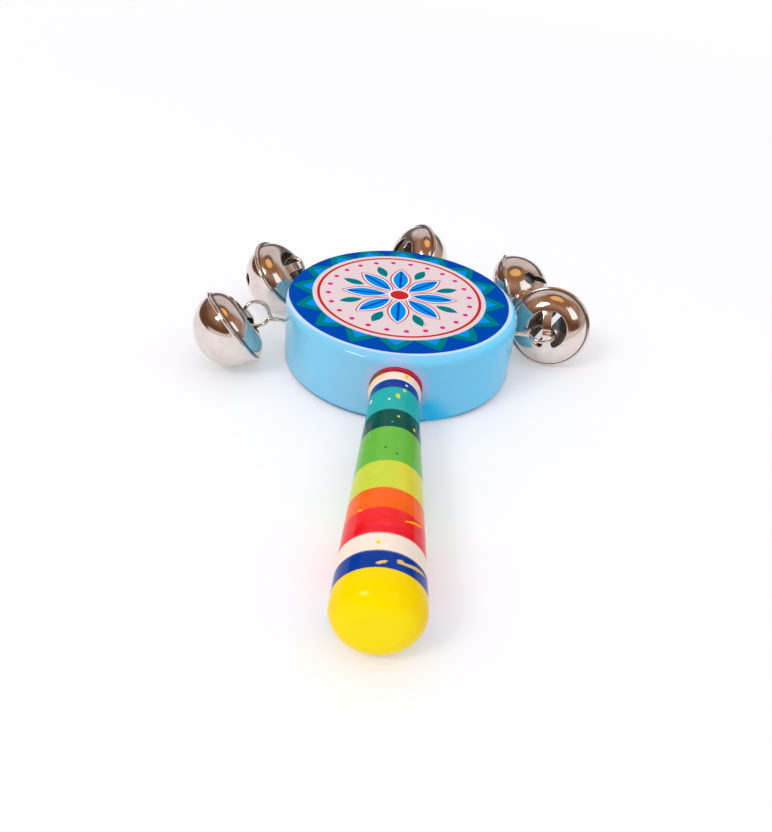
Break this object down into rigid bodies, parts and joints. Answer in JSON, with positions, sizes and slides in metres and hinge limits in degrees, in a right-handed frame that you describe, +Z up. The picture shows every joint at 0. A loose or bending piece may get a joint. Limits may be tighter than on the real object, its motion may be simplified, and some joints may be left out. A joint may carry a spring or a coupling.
{
  "type": "jingle bell rattle",
  "caption": "Hand rattle: a round wooden disc on a tapered, striped handle, with metal jingle bells linked to screw eyes around its rim.",
  "frame": {"origin": "centre of the head's flat underside, which lies on the table", "axes": "-Y along the handle from the head, +Z up through the printed face, +X to the right seen from the handle's end"},
  "size_m": [0.1205, 0.1796, 0.0242],
  "materials": {
    "blue_lacquer": "gloss lacquer",
    "striped_paint": "gloss lacquer",
    "bright_wire": "plated",
    "nickel": "polished nickel plate",
    "steel_ball": "bright"
  },
  "bodies": {
    "rattle": {"head": "blue_lacquer", "handle": "striped_paint", "screw_eye_1": "bright_wire", "screw_eye_2": "bright_wire", "screw_eye_3": "bright_wire", "screw_eye_4": "bright_wire", "screw_eye_5": "bright_wire"},
    "bell_1": {"bell_crown_1": "nickel", "bell_bowl_1": "nickel"},
    "ball_1": {"pellet_1": "steel_ball"},
    "bell_2": {"bell_crown_2": "nickel", "bell_bowl_2": "nickel"},
    "ball_2": {"pellet_2": "steel_ball"},
    "bell_3": {"bell_crown_3": "nickel", "bell_bowl_3": "nickel"},
    "ball_3": {"pellet_3": "steel_ball"},
    "bell_4": {"bell_crown_4": "nickel", "bell_bowl_4": "nickel"},
    "ball_4": {"pellet_4": "steel_ball"},
    "bell_5": {"bell_crown_5": "nickel", "bell_bowl_5": "nickel"},
    "ball_5": {"pellet_5": "steel_ball"}
  },
  "joints": [
    {"name": "bell_1_swing", "type": "hinge", "parent": "rattle", "child": "bell_1", "pos_m": [0.04402, 0.00231, 0.01289], "axis": [0.0584, 0.1941, -0.9792], "range_deg": [0, 40]},
    {"name": "bell_2_swing", "type": "hinge", "parent": "rattle", "child": "bell_2", "pos_m": [0.03076, 0.03076, 0.01105], "axis": [-0.4, 0.5463, 0.7359], "range_deg": [-5, 30]},
    {"name": "bell_3_swing", "type": "hinge", "parent": "rattle", "child": "bell_3", "pos_m": [-0.00228, 0.04355, 0.01346], "axis": [-0.0624, -0.1423, 0.9879], "range_deg": [0, 40]},
    {"name": "bell_4_swing", "type": "hinge", "parent": "rattle", "child": "bell_4", "pos_m": [-0.036, 0.02521, 0.01482], "axis": [-0.5257, -0.8342, 0.1669], "range_deg": [-40, 5]},
    {"name": "bell_5_swing", "type": "hinge", "parent": "rattle", "child": "bell_5", "pos_m": [-0.04321, -0.00607, 0.0144], "axis": [0.1964, -0.9478, 0.2511], "range_deg": [-40, 25]},
    {"name": "ball_1_roll", "type": "hinge", "parent": "bell_1", "child": "ball_1", "pos_m": [0.04707, 0.00871, 0.01213], "axis": [-0.2681, -0.9158, 0.299], "continuous": true},
    {"name": "ball_2_roll", "type": "hinge", "parent": "bell_2", "child": "ball_2", "pos_m": [0.03678, 0.03079, 0.01189], "axis": [-0.9267, 0.0653, -0.3702], "continuous": true},
    {"name": "ball_3_roll", "type": "hinge", "parent": "bell_3", "child": "ball_3", "pos_m": [0.00293, 0.04721, 0.01195], "axis": [-0.8368, -0.3648, 0.4082], "continuous": true},
    {"name": "ball_4_roll", "type": "hinge", "parent": "bell_4", "child": "ball_4", "pos_m": [-0.03986, 0.02477, 0.01197], "axis": [0.7291, -0.0716, 0.6806], "continuous": true},
    {"name": "ball_5_roll", "type": "hinge", "parent": "bell_5", "child": "ball_5", "pos_m": [-0.04934, -0.01087, 0.01197], "axis": [0.753, 0.3636, 0.5485], "continuous": true}
  ]
}
